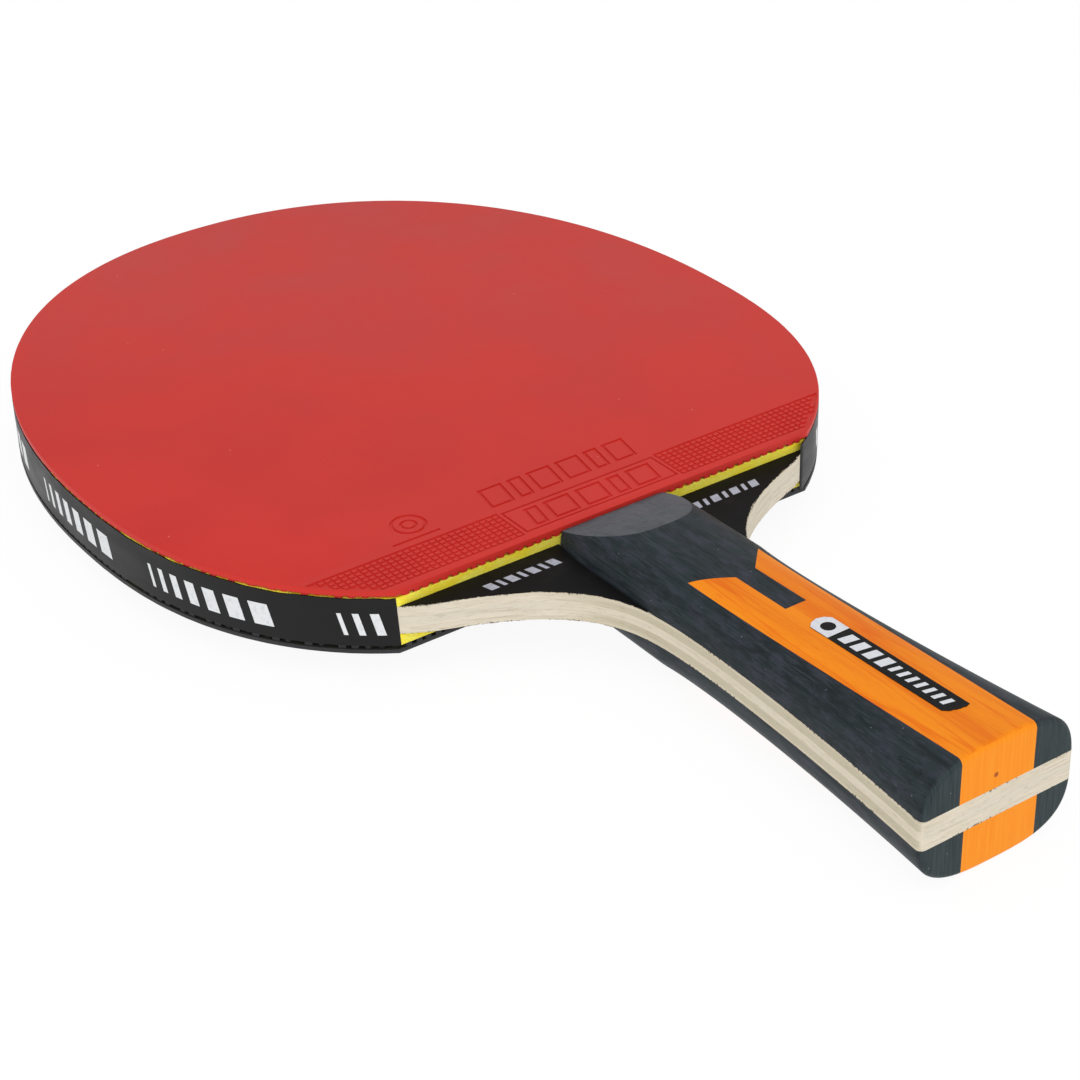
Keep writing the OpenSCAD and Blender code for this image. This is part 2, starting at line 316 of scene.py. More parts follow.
def inset(polygon, distance):
    """A convex counter-clockwise polygon with every side moved inwards."""
    out = []
    for i in range(len(polygon)):
        p0, p1, p2 = (Vector(polygon[k % len(polygon)]) for k in (i - 1, i, i + 1))
        n1, n2 = ((b - a).normalized().orthogonal() for a, b in ((p0, p1), (p1, p2)))
        bisector = (n1 + n2) / (1 + n1.dot(n2))
        out.append(tuple(p1 + bisector * distance))
    return out


# --- materials ---------------------------------------------

def tint(red, green, blue):
    """An sRGB colour, 0 to 255, as linear RGBA."""
    linear = [c / 12.92 if c <= 0.04045 else ((c + 0.055) / 1.055) ** 2.4
              for c in (red / 255, green / 255, blue / 255)]
    return (*linear, 1.0)


SMUDGE = tint(140, 126, 104)
DUST = tint(150, 156, 160)
FRINGE = tint(40, 37, 34)
FRINGE_REACH = 0.5
KNOT_PLACE = (-1, -HANDLE_LENGTH, 5.4)
KNOT_R = 0.6
KNOT_COLOUR = tint(140, 52, 24)


class Shader:
    """One principled material, with short helpers for the nodes in front of it."""

    def __init__(self, name, roughness, specular=0.5):
        self.material = bpy.data.materials.new(name)
        self.material.use_nodes = True
        self.tree = self.material.node_tree
        self.bsdf = self.tree.nodes["Principled BSDF"]
        self.bsdf.inputs["Roughness"].default_value = roughness
        self.bsdf.inputs["Specular IOR Level"].default_value = specular
        self.place = self.tree.nodes.new("ShaderNodeTexCoord").outputs["Object"]

    def link(self, source, target):
        self.tree.links.new(source, target)

    def node(self, kind, inputs, output, **settings):
        """Adds a node and returns that output of it. Its inputs get other nodes' outputs or constants."""
        made = self.tree.nodes.new("ShaderNode" + kind)
        for name, value in settings.items():
            setattr(made, name, value)
        for key, value in inputs.items():
            if isinstance(value, bpy.types.NodeSocket):
                self.link(value, made.inputs[key])
            else:
                made.inputs[key].default_value = value
        return made.outputs[output]

    def stretched(self, sx, sy, sz, shift=(0, 0, 0)):
        """Object coordinates divided into cells of sx, sy and sz millimetres."""
        scale = (1 / (sx * MM), 1 / (sy * MM), 1 / (sz * MM))
        return self.node("Mapping", {"Vector": self.place, "Scale": scale, "Location": shift}, "Vector")

    def noise(self, vector, detail=3, roughness=0.5, distortion=0.0):
        return self.node("TexNoise", {"Vector": vector, "Scale": 1, "Detail": detail,
                                      "Roughness": roughness, "Distortion": distortion}, "Fac")

    def cells(self, vector):
        """Distance to the nearest of one scattered point per cell."""
        return self.node("TexVoronoi", {"Vector": vector, "Scale": 1}, "Distance")

    def span(self, value, low, high, out_low=0.0, out_high=1.0):
        """Maps a value from low..high to out_low..out_high, smoothly and clamped."""
        return self.node("MapRange", {"Value": value, "From Min": low, "From Max": high,
                                      "To Min": out_low, "To Max": out_high}, "Result",
                         interpolation_type="SMOOTHSTEP")

    def math(self, operation, a, b=0.0):
        return self.node("Math", {0: a, 1: b}, "Value", operation=operation)

    def mix(self, factor, a, b):
        """Colour a where the factor is 0 and b where it is 1."""
        return self.node("Mix", {0: factor, 6: a, 7: b}, 2, data_type="RGBA")

    def facing(self, axis):
        """How squarely the surface faces along an axis of the frame, from 0 to 1."""
        normal = self.node("TexCoord", {}, "Normal")
        return self.math("ABSOLUTE", self.node("SeparateXYZ", {0: normal}, axis))

    def spot(self, colour, centre, radius, spot_colour):
        """Paints a soft round spot about a point of the frame, with its radius in millimetres."""
        apart = self.node("VectorMath", {0: self.place, 1: centre}, "Value", operation="DISTANCE")
        return self.mix(self.span(apart, radius * 0.5 * MM, radius * MM, 0.8, 0.0), colour, spot_colour)

    def fringe(self, colour):
        """Dark fibres and glue that hang a little way over the plywood's outer edges."""
        height = self.node("SeparateXYZ", {0: self.place}, "Z")
        off_middle = self.math("ABSOLUTE", self.math("SUBTRACT", height, MID_Z))
        below_edge = self.math("SUBTRACT", FACE_Z, self.math("DIVIDE", off_middle, MM))
        reach = self.span(self.noise(self.stretched(0.3, 0.5, 5), detail=4), 0.42, 0.75, 0.0, FRINGE_REACH)
        clump = self.span(self.noise(self.stretched(9, 9, 9)), 0.42, 0.62)
        reach = self.math("MULTIPLY", reach, clump)
        bare = self.span(self.math("SUBTRACT", reach, below_edge), 0.0, 0.1, 0.0, 0.75)
        return self.mix(bare, colour, FRINGE)

    def bump(self, height, millimetres):
        """Lets a value from 0 to 1 stand for that many millimetres of relief."""
        normal = self.node("Bump", {"Height": height, "Strength": 1, "Distance": millimetres * MM}, "Normal")
        self.link(normal, self.bsdf.inputs["Normal"])

    def finish(self, colour, roughness=None):
        """Wires up the colour, and the roughness where it varies, and returns the material."""
        self.link(colour, self.bsdf.inputs["Base Color"])
        if roughness is not None:
            self.link(roughness, self.bsdf.inputs["Roughness"])
        return self.material


def rubber(name, base, deep, pale):
    """Tacky matte rubber with faint mottling, a fine skin texture and a few specks of dust."""
    s = Shader(name, 0.5, 0.22)
    mottle = s.noise(s.stretched(22, 22, 22), detail=4)
    colour = s.mix(s.span(mottle, 0.35, 0.65), deep, base)
    specks = s.cells(s.stretched(9, 9, 9))
    colour = s.mix(s.span(specks, 0.012, 0.035, 0.55, 0.0), colour, pale)
    grain = s.noise(s.stretched(0.35, 0.35, 0.35), detail=2)
    s.bump(grain, 0.012)
    return s.finish(colour, s.span(mottle, 0.3, 0.7, 0.46, 0.56))


def sponge_foam(name):
    """Open foam, a little patchy, with painted shade darkening its pores."""
    s = Shader(name, 0.85, 0.25)
    pores = s.cells(s.stretched(0.32, 0.32, 0.32))
    patches = s.noise(s.stretched(3, 3, 1.2), detail=3)
    colour = s.mix(s.span(patches, 0.3, 0.7), tint(255, 232, 52), tint(255, 243, 94))
    # Painted shade: the foam's colour is pulled towards a deeper yellow inside each pore.
    colour = s.mix(s.span(pores, 0.1, 0.45, 0.35, 0.0), colour, tint(228, 196, 24))
    s.bump(pores, 0.08)
    return s.finish(colour)


def woven_tape(name, base, pale):
    """Smooth cloth tape with a fine weave across it and slightly paler worn patches."""
    s = Shader(name, 0.42, 0.26)
    weave = s.noise(s.stretched(0.25, 0.25, 0.9), detail=2)
    wear = s.noise(s.stretched(14, 14, 4), detail=4)
    colour = s.mix(s.span(wear, 0.4, 0.75), base, pale)
    s.bump(weave, 0.02)
    return s.finish(colour, s.span(wear, 0.3, 0.7, 0.38, 0.5))


def film(name, base, pale):
    """Thin matte plastic film over wood, whose grain shows faintly through it."""
    s = Shader(name, 0.5, 0.07)
    wear = s.noise(s.stretched(6, 6, 6), detail=5, roughness=0.6)
    colour = s.mix(s.span(wear, 0.45, 0.8), base, pale)
    s.bump(s.noise(s.stretched(0.3, 1.2, 0.3)), 0.01)
    return s.finish(colour)


def stained_wood(name, dark, base, light, vein, seed, along=(0.3, 14, 0.3), vein_strength=0.5,
                 rings=(0.42, 0.5, 0.57), ring_width=0.012, blotch=None, dust=0.0):
    """Stained wood with its grain along Y, and faint saw marks along Z on the end grain.

    Each of the rings is a level of the slow figure noise that a thin vein follows.
    """
    s = Shader(name, 0.5, 0.12)
    end = s.span(s.facing(1), 0.45, 0.8)
    fine = s.noise(s.stretched(*along, shift=(seed, 0, seed)), detail=4, roughness=0.6)
    broad = s.noise(s.stretched(3.2, 60, 3.2, shift=(0, seed, 0)), detail=3, distortion=0.6)
    saw = s.noise(s.stretched(0.4, 3, 9), detail=3)
    colour = s.mix(s.span(broad, 0.35, 0.65), dark, base)
    colour = s.mix(s.span(fine, 0.5, 0.75, 0.0, 0.8), colour, light)
    if blotch:
        uneven = s.noise(s.stretched(1.6, 5, 1.6, shift=(0, 0, seed)), detail=6, roughness=0.7)
        colour = s.mix(s.span(uneven, 0.42, 0.68, 0.0, 0.75), colour, blotch)
    figure = s.noise(s.stretched(4.5, 110, 4.5, shift=(seed, seed, 0)), detail=3, distortion=0.2)
    for level in rings:
        ring = s.math("ABSOLUTE", s.math("SUBTRACT", figure, level))
        colour = s.mix(s.span(ring, 0.0, ring_width, vein_strength, 0.0), colour, vein)
    pores = s.noise(s.stretched(0.16, 3.5, 0.16, shift=(seed, seed, 0)), detail=2)
    colour = s.mix(s.span(pores, 0.6, 0.75, 0.0, 0.6), colour, vein)
    sawn = s.mix(s.span(saw, 0.3, 0.7, 0.0, 0.7), base, light)
    colour = s.mix(end, colour, sawn)
    colour = s.spot(colour, at(*KNOT_PLACE), KNOT_R, KNOT_COLOUR)
    specks = s.cells(s.stretched(3, 3, 3, shift=(seed, seed, seed)))
    colour = s.mix(s.span(specks, 0.02, 0.06, dust, 0.0), colour, DUST)
    s.bump(s.math("ADD", fine, s.math("MULTIPLY", saw, end)), 0.03)
    return s.finish(colour, s.span(fine, 0.3, 0.7, 0.42, 0.58))


def bare_ply(name, long_grain, end_grain, streak, across, seed):
    """Bare ply, paler along its grain than on its end grain. across is True if the grain runs along X."""
    s = Shader(name, 0.7, 0.15)
    end = s.span(s.facing(0 if across else 1), 0.6, 0.97)
    lines = s.noise(s.stretched(9, 14, 0.22, shift=(seed, seed, seed)), detail=5, roughness=0.65)
    patches = s.noise(s.stretched(6, 6, 2, shift=(seed, 0, 0)), detail=3)
    colour = s.mix(end, long_grain, end_grain)
    colour = s.mix(s.span(lines, 0.48, 0.72, 0.0, 0.75), colour, streak)
    colour = s.mix(s.span(patches, 0.35, 0.8, 0.0, 0.4), colour, end_grain)
    smudges = s.noise(s.stretched(1.8, 1.8, 0.4, shift=(0, seed, 0)), detail=5, roughness=0.65)
    colour = s.mix(s.span(smudges, 0.52, 0.72, 0.0, 0.3), colour, SMUDGE)
    colour = s.fringe(colour)
    s.bump(lines, 0.03)
    return s.finish(colour)


def printed(name, colour, worn, specular=0.4):
    """Print ink with small thin patches."""
    s = Shader(name, 0.45, specular)
    wear = s.noise(s.stretched(0.8, 0.8, 0.8), detail=3)
    return s.finish(s.mix(s.span(wear, 0.45, 0.8), colour, worn))


RED = rubber("red_rubber", tint(208, 49, 41), tint(202, 43, 36), tint(222, 130, 120))
BLACK = rubber("black_rubber", tint(52, 52, 54), tint(43, 43, 45), tint(92, 92, 94))
YELLOW = sponge_foam("yellow_sponge")
TAPE = woven_tape("black_tape", tint(8, 8, 9), tint(15, 15, 16))
TAPE_PRINT = printed("tape_print", tint(226, 228, 230), tint(205, 207, 210))
FILM = film("black_film", tint(18, 18, 19), tint(30, 29, 29))
FILM_PRINT = printed("film_print", tint(178, 182, 196), tint(150, 154, 168))
DARK = stained_wood("dark_stained_wood", tint(31, 39, 42), tint(42, 52, 55), tint(60, 71, 74),
                    tint(22, 27, 29), 3, blotch=tint(60, 62, 74), dust=0.45)
DARK_CUT = stained_wood("dark_end_grain", tint(78, 82, 87), tint(88, 92, 97), tint(102, 106, 110),
                        tint(62, 65, 70), 7, along=(5, 0.6, 0.6))
ORANGE = stained_wood("orange_stained_wood", tint(235, 119, 13), tint(247, 141, 21), tint(250, 154, 34),
                      tint(230, 92, 8), 11, vein_strength=0.45, rings=(0.5,), ring_width=0.025)
CORE = bare_ply("core_ply_wood", tint(219, 209, 189), tint(219, 210, 193), tint(190, 175, 150), False, 1)
INNER = bare_ply("inner_ply_wood", tint(225, 215, 196), tint(198, 189, 166), tint(182, 168, 143), True, 5)
FACE = bare_ply("face_ply_wood", tint(208, 197, 174), tint(223, 213, 193), tint(182, 166, 139), False, 9)
BADGE_BLACK = printed("badge_black", tint(20, 19, 20), tint(30, 29, 30), specular=0.1)
BADGE_WHITE = printed("badge_white", tint(222, 224, 230), tint(206, 208, 214))


# --- blade -------------------------------------------------

def make_ply(node, low, high, material):
    """One layer of the plywood, which is the head and the core of the handle in one."""
    outline = both_sides(spaced(head_side(0, -SHOULDER_Y) + stem_side(), PLY_POINTS))
    bm = bmesh.new()
    stack(bm, [(outline, low), (outline, high)])
    make_piece(node, bm, "pale_wood", [material])


# --- rubbers -----------------------------------------------

# The skins' and sponges' cut edges wander by these amounts.
SKIN_TOP_WAVE = 0.06
SKIN_FOOT_WAVE = 0.096
SPONGE_WAVE = 0.1
EDGE_ROUND = 0.08
# Pimples stand in columns along y, every second one moved on by half a pitch, round a solid bed.
PIMPLE_COLUMN = 2.035
PIMPLE_PITCH = 2.35
PIMPLE_R = 0.74
PIMPLE_SIDES = 12
PIMPLE_PHASE = 0.25
PIMPLE_OVERHANG = 0.8 * PIMPLE_R
PIMPLE_REACH = 8.3
PIMPLE_LAP = 0.05
BED_INSET = 8.0
BED_LOW_Y = 7.5


def make_sponge(node, level, back):
    """A sponge from the plywood up to that level, its cut edge a little uneven all round."""
    bm = bmesh.new()
    outline = head_loop(0, RUBBER_POINTS, cut_points=120)
    middle = (FACE_Z + level) / 2
    stack(bm, [(ragged(outline, SPONGE_WAVE, size, seed), z)
               for size, seed, z in ((1.4, 1, FACE_Z), (1.1, 4, middle), (1.4, 8, level))])
    make_piece(node, bm, "yellow_sponge", [YELLOW], back=back)


def edge_distance(x, y):
    """(distance inside the wood's edge, outward direction), close enough near the edge."""
    reach, power = ((HEAD_LENGTH - WIDEST_Y, TIP_POWER) if y > WIDEST_Y else (BASE_REACH, BASE_POWER))
    u, v = abs(x) / HEAD_HALF, abs(y - WIDEST_Y) / reach
    level = u ** power + v ** power
    slope = Vector((math.copysign(power * u ** (power - 1) / HEAD_HALF, x),
                    math.copysign(power * v ** (power - 1) / reach, y - WIDEST_Y)))
    rim = (1 - level) / max(slope.length, 1e-6)
    if y < rim:
        return y, Vector((0, -1))
    return rim, slope.normalized()


def pimple_ring(x, y):
    """One pimple's outline, cut off flush where it crosses the rubber's edge."""
    ring = []
    for k in range(PIMPLE_SIDES):
        angle = math.tau * k / PIMPLE_SIDES
        px, py = x + PIMPLE_R * math.cos(angle), y + PIMPLE_R * math.sin(angle)
        for _ in range(2):
            inside, outward = edge_distance(px, py)
            if inside < 0:
                px, py = px + outward.x * inside, py + outward.y * inside
        ring.append((px, py))
    return ring


def add_pimples(bm, low, high):
    """The pimples near the sheet's edge, in staggered columns, and a solid bed for those further in."""
    bed = [(x, max(y, BED_LOW_Y)) for x, y in head_loop(-BED_INSET)]
    stack(bm, [(bed, low), (bed, high)])
    columns = int(HEAD_HALF / PIMPLE_COLUMN) + 1
    for i in range(-columns, columns + 1):
        x = i * PIMPLE_COLUMN
        for j in range(-1, int(HEAD_LENGTH / PIMPLE_PITCH) + 2):
            y = (j + PIMPLE_PHASE + 0.5 * (i % 2)) * PIMPLE_PITCH
            if -PIMPLE_OVERHANG < edge_distance(x, y)[0] < PIMPLE_REACH:
                ring = pimple_ring(x, y)
                stack(bm, [(ring, low), (ring, high)])


# Moulded marks on the sheets: a band of small squares along the cut edge with a plain panel in it,
# two rows of plain slanted bars, in the panel and above it, and a double ring over a short bar.
# Each bar is (where it starts, its width), each row (low, high, lean of its bars), and each ring
# (radius, width of its line).
MARK_DEPTH = 0.3
MARK_SLOPE = 0.09
MARK_LINE = 0.6
BAND_LOW = 1.75
BAND_ROWS = 7
BAND_MARGIN = 0.3
BAND_STEPS = 8
CELL_Y = 1.28
CELL_X = 1.38
CELL_GAP = 0.32
CELL_MARGIN = 0.25
CELL_SIDE_MARGIN = 0.12
CELL_LEAST = 0.8
CELL_DROP = 0.015
BAND_HIGH = BAND_LOW + 2 * CELL_MARGIN + BAND_ROWS * CELL_Y
PANEL_HALF = 18.0
PANEL_LINE = 0.35
PANEL_OUTLINE = (0.6 - PANEL_HALF, BAND_LOW + 0.5, PANEL_HALF - 0.6, BAND_HIGH - 0.5)
UPPER_BARS = ((-17.6, 5.4), (-11.0, 3.2), (-6.6, 5.4), (0.0, 5.4), (6.6, 3.2), (11.0, 5.0))
UPPER_ROW = (13.2, 20.2, 1.3)
LOWER_BARS = ((-14.6, 3.0), (-10.2, 5.8), (-3.0, 5.8), (4.2, 3.0), (8.6, 5.6))
LOWER_ROW = (3.2, 9.4, 1.2)
RING_PLACE = (-32.8, 17.9)
RING_SIZES = ((3.5, 0.6), (1.7, 0.5))
RING_BAR = (-39.3, 12.7, -29.1, 13.35)


def rectangle(x0, y0, x1, y1, lean=0.0):
    """Counter-clockwise rectangle whose top leans to the right."""
    return [(x0, y0), (x1, y0), (x1 + lean, y1), (x0 + lean, y1)]


def band_outline(side):
    """The recessed half of the band on one side, from the panel to the sheet's curved edge."""
    levels = [BAND_LOW + (BAND_HIGH - BAND_LOW) * k / BAND_STEPS for k in range(BAND_STEPS + 1)]
    outer = [(edge_x(y, BAND_MARGIN), y) for y in levels]
    loop = [(PANEL_HALF, BAND_LOW)] + outer + [(PANEL_HALF, BAND_HIGH)]
    return loop if side > 0 else [(-x, y) for x, y in reversed(loop)]


def band_cells(side):
    """The small raised squares of one half of the band; the last ones follow the sheet's curved edge."""
    for row in range(BAND_ROWS):
        y0 = BAND_LOW + CELL_MARGIN + MARK_SLOPE + row * CELL_Y
        y1 = y0 + CELL_Y - CELL_GAP
        limits = [edge_x(y, BAND_MARGIN + MARK_SLOPE + CELL_SIDE_MARGIN) for y in (y0, y1)]
        x0 = PANEL_HALF + CELL_MARGIN + MARK_SLOPE
        while x0 + CELL_LEAST < limits[0]:
            right_low, right_high = (min(x0 + CELL_X - CELL_GAP, limit) for limit in limits)
            cell = [(x0, y0), (right_low, y0), (right_high, y1), (x0, y1)]
            yield cell if side > 0 else [(-x, y) for x, y in reversed(cell)]
            x0 += CELL_X


def ring_shape(x, y, radius, sides=40):
    """A circle as a counter-clockwise polygon."""
    return [(x + radius * math.cos(math.tau * k / sides), y + radius * math.sin(math.tau * k / sides))
            for k in range(sides)]


def line_marks():
    """Plain outlined shapes drawn by a moulded line: (closed convex outline, width of the line)."""
    shapes = [(rectangle(*PANEL_OUTLINE), PANEL_LINE)]
    for bars, (low, high, lean) in ((UPPER_BARS, UPPER_ROW), (LOWER_BARS, LOWER_ROW)):
        for start, width in bars:
            shapes.append((rectangle(start, low, start + width, high, lean), MARK_LINE))
    for radius, line in RING_SIZES:
        shapes.append((ring_shape(*RING_PLACE, radius), line))
    return shapes


class Relief:
    """A flat face with moulded marks, in plan; each point has its drop below the face's level."""

    def __init__(self, rim):
        self.points, self.drops, self.edges = [], [], []
        self.rim = self.loop(rim, 0.0)

    def loop(self, polygon, drop):
        """Adds a closed line with that drop and returns its points' places."""
        places = numbered(self.points, polygon)
        self.drops += [drop] * len(places)
        self.edges += zip(places, places[1:] + places[:1])
        return places

    def sink(self, polygon):
        """A recess with sloping walls; what is added inside it stands on its floor."""
        self.loop(polygon, 0.0)
        self.loop(inset(polygon, MARK_SLOPE), MARK_DEPTH)

    def stand(self, polygon):
        """A raised flat inside a recess, all but level with the sheet."""
        self.loop(polygon, MARK_DEPTH)
        self.loop(inset(polygon, MARK_SLOPE), CELL_DROP)

    def groove(self, polygon, width):
        """A recessed line that runs inside a polygon's sides."""
        self.sink(polygon)
        self.loop(inset(polygon, width), MARK_DEPTH)
        self.loop(inset(polygon, width + MARK_SLOPE), 0.0)

    def build(self, bm, level):
        """Adds the triangles at that level and returns the rim's vertices in order."""
        points, _, faces, origins, _, _ = delaunay_2d_cdt(self.points, self.edges, [], 1, 1e-5)
        made, where = [], {}
        for k, (p, source) in enumerate(zip(points, origins)):
            drop = self.drops[source[0]] if source else 0.0
            made.append(bm.verts.new((p.x, p.y, level - drop)))
            for index in source:
                where[index] = k
        for face in faces:
            bm.faces.new([made[i] for i in face])
        return [made[where[i]] for i in self.rim]


def moulded_face(rim):
    """The top of a sheet inside its rim, with all its moulded marks."""
    relief = Relief(rim)
    for side in (-1, 1):
        relief.sink(band_outline(side))
        for cell in band_cells(side):
            relief.stand(cell)
    for shape, width in line_marks():
        relief.groove(shape, width)
    relief.sink(rectangle(*RING_BAR))
    return relief


def make_topsheet(node, material, slot, level, top_z, skin_t, back):
    """A top sheet: pimples on the sponge at that level, and a skin with a rounded upper edge."""
    bm = bmesh.new()
    skin_z = top_z - skin_t
    add_pimples(bm, level, skin_z + PIMPLE_LAP)
    outline = head_loop(SHEET_LAP, RUBBER_POINTS, cut_points=150)
    cut = ragged(outline, SKIN_TOP_WAVE, 2.3, 2)
    foot = ragged(outline, SKIN_FOOT_WAVE, 0.9, 6)
    easing = EDGE_ROUND * 0.3
    rings = [moulded_face(moved_in(cut, EDGE_ROUND)).build(bm, top_z)]
    for loop, z in ((moved_in(cut, easing), top_z - easing), (cut, top_z - EDGE_ROUND), (foot, skin_z)):
        rings.append([bm.verts.new((x, y, z)) for x, y in loop])
    for ring, following in zip(rings, rings[1:]):
        add_wall(bm, ring, following)
    bm.faces.new(rings[-1][::-1])
    make_piece(node, bm, slot, [material], crease=28, back=back)


# --- printed surfaces --------------------------------------

def printed_faces(outline, grid_edges, marks):
    """Triangles over an outline, with the marks as separate regions.

    Returns the points, the (triangle, is mark) pairs and the outline's places among the points.
    """
    points = []
    border = numbered(points, outline)
    edges = list(zip(border, border[1:] + border[:1]))
    edges += [tuple(numbered(points, edge)) for edge in grid_edges]
    faces = [numbered(points, mark) for mark in marks]
    out, _, triangles, origins, _, regions = delaunay_2d_cdt(points, edges, faces, 1, 1e-5)
    where = {index: k for k, source in enumerate(origins) for index in source}
    return out, [(t, bool(r)) for t, r in zip(triangles, regions)], [where[i] for i in border]


def thin_sheet(tops, lows, faces):
    """A thin closed sheet: (triangle, is mark) faces on top, the same faces below, and its rim."""
    bm = bmesh.new()
    top = [bm.verts.new(p) for p in tops]
    low = [bm.verts.new(p) for p in lows]
    for triangle, is_mark in faces:
        bm.faces.new([top[i] for i in triangle]).material_index = int(is_mark)
        bm.faces.new([low[i] for i in triangle])
    under = dict(zip(top, low))
    for edge in [e for e in bm.edges if len(e.link_faces) == 1 and e.verts[0] in under]:
        a, b = edge.verts
        bm.faces.new((a, b, under[b], under[a]))
    return bm


def slanted_bars(start, widths, gap, low, high, lean):
    """A row of plain slanted bars, used wherever the real paddle carries words."""
    bars, x = [], start
    for width in widths:
        bars.append(rectangle(x, low, x + width, high, lean))
        x += width + gap
    return bars


# --- edge tape ---------------------------------------------

# Lengths along the tape are measured from its left end. It is printed with rows of plain bars.
TAPE_STEP = 1.1
TAPE_LIFT = 0.02
TAPE_DIP = 0.4
TAPE_DIP_L = 4
TAPE_FOOT_WAVE = 0.1
TAPE_FOOT_WAVE_L = 33
TAPE_END_SLANT = 0.5
TAPE_END_REACH = 4.0
TAPE_PLAIN_END = 12
TAPE_BARS = (3.9, 3.3, 2.7, 2.2, 1.7, 1.2, 0.8)
TAPE_BARS_GAP = 2.0
TAPE_BARS_ROW = (-2.9, 1.6, 1.2)
TAPE_BARS_START = -18.1
TAPE_BARS_PITCH = 40.8
TAPE_LEAST_BAR = 0.3


def tape_line(grow):
    """The tape's path from its left end round the tip to its tail on the right."""
    left = [(-x, y) for x, y in reversed(head_side(grow, 0))]
    return left[:-1] + head_side(grow, -TAPE_TAIL)


def tape_top(s, length):
    """The upper edge's level: that of the sponge, less small dips, and rising to the tail."""
    rise = max(0.0, 1 - (length - s) / TAPE_RISE_L)
    top = FRONT_SHEET_Z + (TAPE_TAIL_TOP - FRONT_SHEET_Z) * rise
    return top - TAPE_DIP * max(0.0, noise.noise(Vector((s / TAPE_DIP_L, 0.3, 0))))


def tape_foot(s):
    """The lower edge's level, which wanders slowly."""
    wave = noise.noise(Vector((s / TAPE_FOOT_WAVE_L, 5.1, 0)))
    return TAPE_FOOT + TAPE_FOOT_WAVE * (0.5 + 0.5 * wave)


def on_tape(line, length, s, z):
    """The point at s along an evenly spaced line, moved on a little near the slanting left end."""
    height = (z - TAPE_FOOT) / (FRONT_SHEET_Z - TAPE_FOOT)
    s += TAPE_END_SLANT * height * max(0.0, 1 - s / TAPE_END_REACH)
    count = len(line) - 1
    k = min(max(s / length * count, 0.0), count - 1e-6)
    i = int(k)
    (ax, ay), (bx, by) = line[i], line[i + 1]
    return ax + (bx - ax) * (k - i), ay + (by - ay) * (k - i), z


def tape_marks(length):
    """Rows of plain bars printed along the tape, each corner as (place along the tape, z)."""
    marks, start = [], TAPE_BARS_START
    while start < length:
        for bar in slanted_bars(start, TAPE_BARS, TAPE_BARS_GAP, *TAPE_BARS_ROW):
            bar = [(min(max(s, 0.0), length), z) for s, z in bar]
            if bar[1][0] - bar[0][0] > TAPE_LEAST_BAR and bar[1][0] < length - TAPE_PLAIN_END:
                marks.append(bar)
        start += TAPE_BARS_PITCH
    return marks


def make_tape():
    """The tape, laid out flat, printed and then wrapped round the head."""
    steps = int(run_length(tape_line(TAPE_OUT))[-1] / TAPE_STEP)
    outer, inner = (spaced(tape_line(grow), steps * 4) for grow in (TAPE_OUT, TAPE_LIFT))
    length = run_length(outer)[-1]
    columns = [length * i / steps for i in range(steps + 1)]
    low_edge = [(s, tape_foot(s)) for s in columns]
    high_edge = [(s, tape_top(s, length)) for s in columns]
    grid = list(zip(low_edge, high_edge))[1:-1]
    points, triangles, border = printed_faces(low_edge + high_edge[::-1], grid, tape_marks(length))

    bm = bmesh.new()
    front = [bm.verts.new(on_tape(outer, length, p.x, p.y)) for p in points]
    for triangle, is_mark in triangles:
        bm.faces.new([front[i] for i in triangle]).material_index = int(is_mark)
    back_low, back_high = ([bm.verts.new(on_tape(inner, length, s, z)) for s, z in edge]
                           for edge in (low_edge, high_edge))
    front_low = [front[k] for k in border[:steps + 1]]
    front_high = [front[k] for k in reversed(border[steps + 1:])]
    for a, b in ((front_high, back_high), (back_high, back_low), (back_low, front_low)):
        for i in range(steps):
            bm.faces.new((a[i], a[i + 1], b[i + 1], b[i]))
    for i in (0, steps):
        bm.faces.new((front_low[i], front_high[i], back_high[i], back_low[i]))
    make_piece("edge_tape", bm, "edge_tape", [TAPE, TAPE_PRINT])


# --- shoulder films ----------------------------------------

FRAY_X = 0.24
FRAY_Y = 0.4
FRAY_POINTS = 150
FRAY_SIZES = (0.5, 3)
FILM_BARS = (1.8, 0.8, 1.8, 0.8, 1.8, 0.8, 1.8)
FILM_BARS_GAP = 0.97
FILM_BARS_X = 15.2
FILM_BARS_ROW = (-5.6, -3.4, 0.6)
FILM_STEPS = 40
FILM_GAP = 0.01


def shoulder_outline():
    """Right-hand film: between the rubber's cut edge, the handle's scale and the frayed wood's edge."""
    depths = [FILM_L * k / FILM_STEPS for k in range(FILM_STEPS + 1)]
    inner = [(scale_foot(depth) + FILM_GAP, -depth) for depth in depths]
    edge = [(x, y) for x, y in head_side(0, -SHOULDER_Y) if y < -0.05] + stem_side()
    edge = spaced([(head_side(0, 0)[-1][0], 0.0)] + [(x, y) for x, y in edge if y > -FILM_L], FRAY_POINTS)
    frayed = []
    for x, y in edge:
        fine, broad = (noise.noise(Vector((x / size, y / size, size))) for size in FRAY_SIZES)
        bite = abs(fine) + 0.5 * abs(broad)
        frayed.append((x - FRAY_X * bite, y + FRAY_Y * bite))
    frayed[0] = (frayed[0][0], 0.0)
    return inner + frayed[::-1]


def make_film(side_name, sign, back):
    """One shoulder film; sign is 1 on the side where x is positive and -1 on the other."""
    marks = slanted_bars(FILM_BARS_X, FILM_BARS, FILM_BARS_GAP, *FILM_BARS_ROW)
    points, triangles, _ = printed_faces(shoulder_outline(), [], marks)
    low = [(p.x * sign, p.y, FACE_Z) for p in points]
    bm = thin_sheet([(x, y, z + FILM_T) for x, y, z in low], low, triangles)
    node = f"shoulder_film_{'back' if back else 'front'}_{side_name}"
    make_piece(node, bm, "black_film", [FILM, FILM_PRINT], back=back)


# --- handle ------------------------------------------------

START_STEPS = 8
BODY_STEPS = 90
END_STEPS = 9
CUTTER_MARGIN = 1


